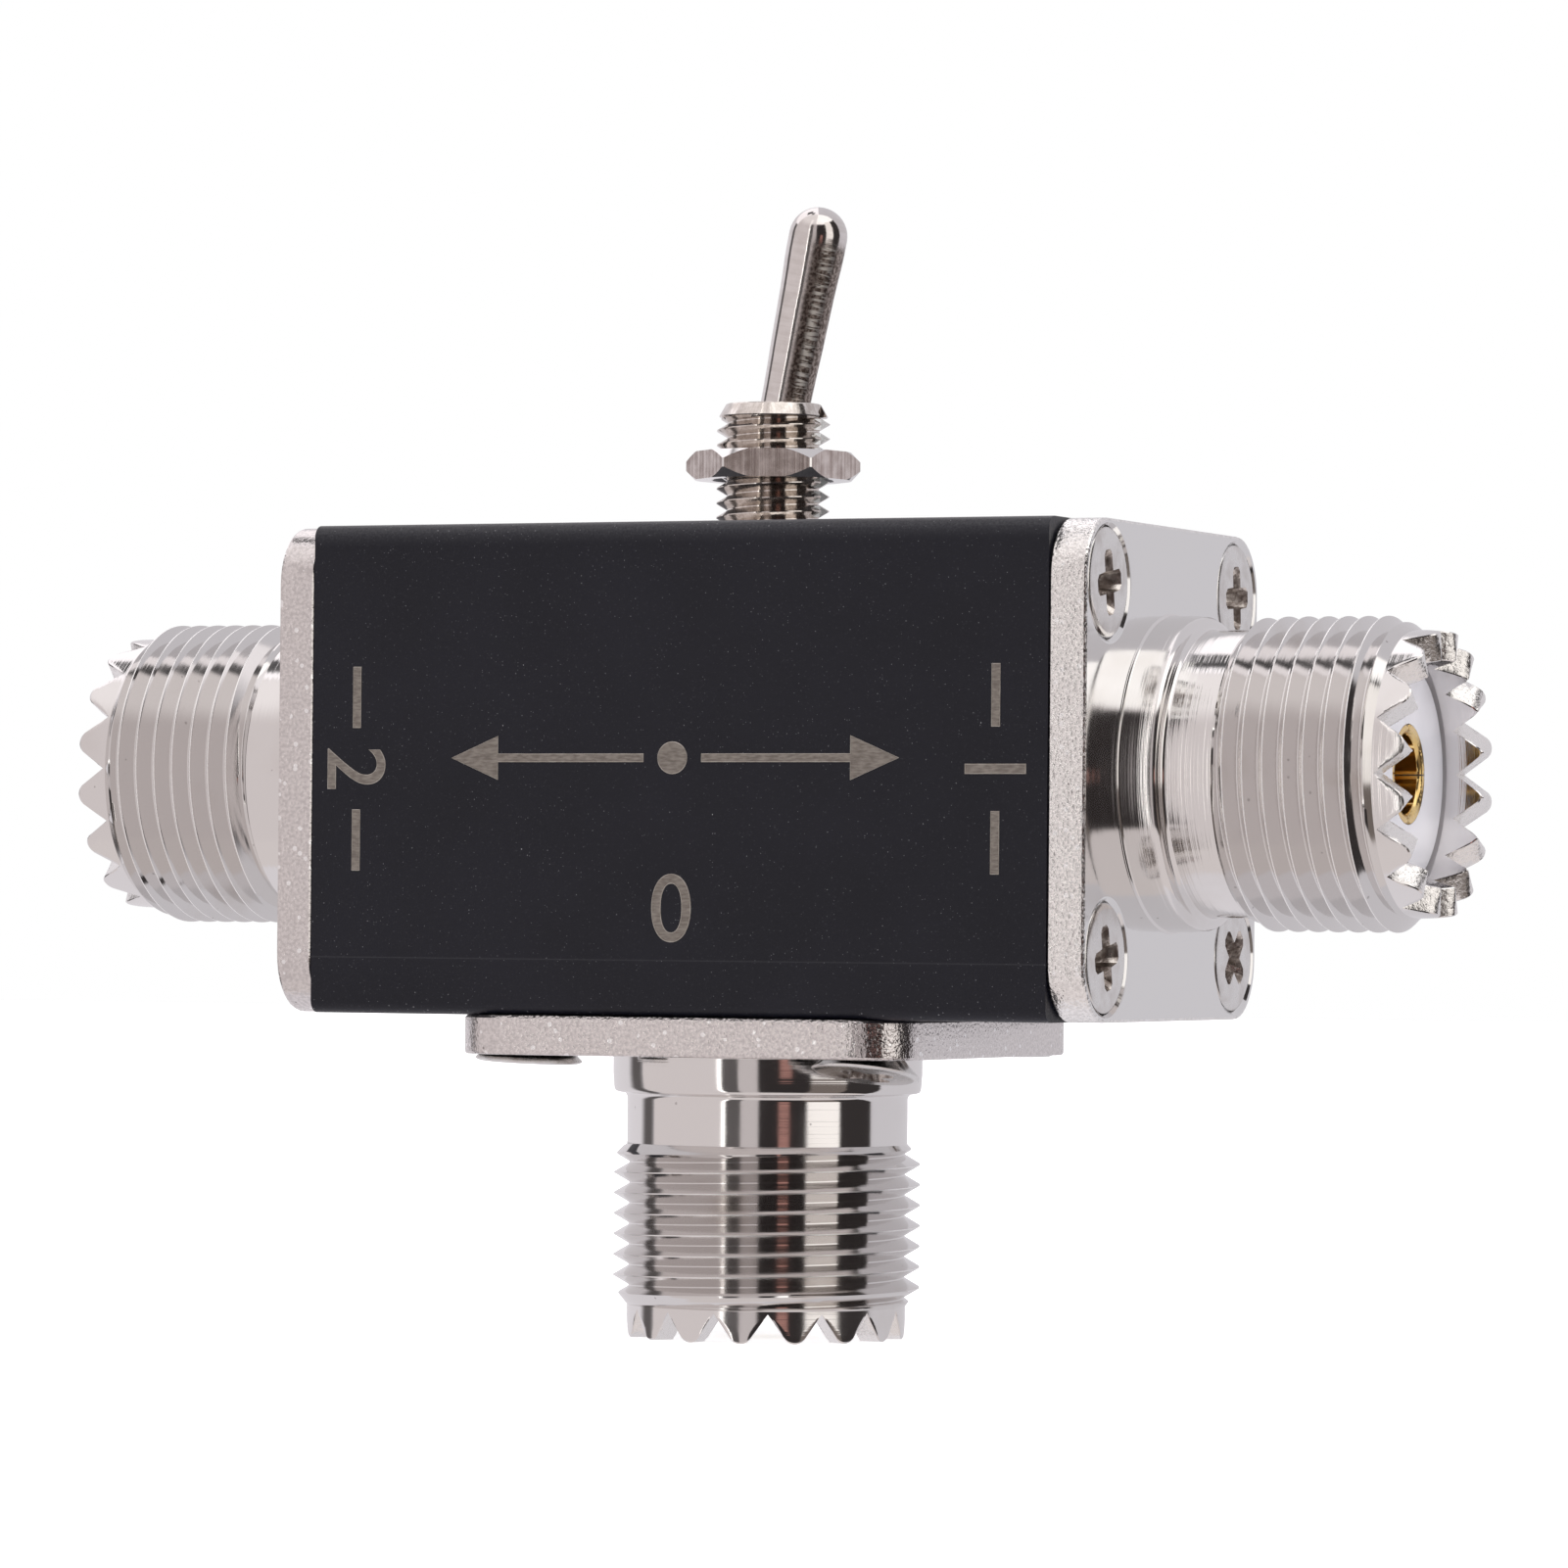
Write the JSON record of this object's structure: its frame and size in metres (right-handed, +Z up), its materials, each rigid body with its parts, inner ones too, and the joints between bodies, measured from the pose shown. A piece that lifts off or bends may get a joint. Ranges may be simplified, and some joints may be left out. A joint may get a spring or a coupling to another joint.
{
  "type": "coaxial antenna switch",
  "caption": "Two-way coaxial antenna switch: square black housing with a flanged threaded socket at each end and one below, and a toggle lever on top.",
  "frame": {"origin": "middle of the common socket's mouth, at the tips of its crown, where the switch stands", "axes": "X runs from port 2 to port 1, Z up along the common socket and the toggle bushing, the marked front face looks towards -Y"},
  "size_m": [0.0736, 0.025, 0.0584],
  "materials": {
    "black_anodised": "satin black anodised",
    "nickel": "bright nickel plate",
    "screw_steel": "nickel-plated steel",
    "white_plastic": "smooth white",
    "gold_plate": "gold plate",
    "toggle_nickel": "worn nickel plate",
    "nut_nickel": "brushed nickel plate",
    "acetal": "smooth acetal",
    "contact_brass": "silver-plated brass",
    "red_phenolic": "moulded phenolic",
    "tinned_copper": "tinned"
  },
  "bodies": {
    "root": {"housing": "black_anodised", "port_1_socket": "nickel", "port_1_insulator": "white_plastic", "port_1_contact": "gold_plate", "port_1_screws": "screw_steel", "port_2_socket": "nickel", "port_2_insulator": "white_plastic", "port_2_contact": "gold_plate", "port_2_screws": "screw_steel", "common_socket": "nickel", "common_insulator": "white_plastic", "common_contact": "gold_plate", "common_screws": "screw_steel", "toggle_bushing": "toggle_nickel", "switch_bracket": "screw_steel", "switch_case": "red_phenolic", "common_terminal": "contact_brass", "port_1_terminal": "contact_brass", "port_2_terminal": "contact_brass", "common_wire": "tinned_copper", "port_1_wire": "tinned_copper", "port_2_wire": "tinned_copper"},
    "nut": {"hex_nut": "nut_nickel"},
    "lever": {"toggle_lever": "toggle_nickel", "lever_pin": "screw_steel", "plunger_spring": "screw_steel"},
    "plunger": {"plunger": "acetal"},
    "rocker": {"rocker_contact": "contact_brass"}
  },
  "joints": [
    {"name": "lever_tilt", "type": "hinge", "parent": "root", "child": "lever", "pos_m": [0, 0, 0.045], "axis": [0, 1, 0], "range_deg": [-23, 0]},
    {"name": "rocker_tilt", "type": "hinge", "parent": "root", "child": "rocker", "pos_m": [0, 0, 0.03235], "axis": [0, 1, 0], "range_deg": [0, 16]},
    {"name": "plunger_slide", "type": "slide", "parent": "lever", "child": "plunger", "axis": [0.1994, 0, 0.9799], "range_m": [0, 0.0004], "stiffness_N_per_m": 300, "springref_m": -0.0005, "deforming": ["plunger_spring"]},
    {"name": "nut_travel", "type": "slide", "parent": "root", "child": "nut", "axis": [0, 0, 1], "range_m": [-0.00265, 0.0024]}
  ],
  "couplings": [
    {"joint": "rocker_tilt", "follows": "lever_tilt", "ratio": -0.69565}
  ]
}
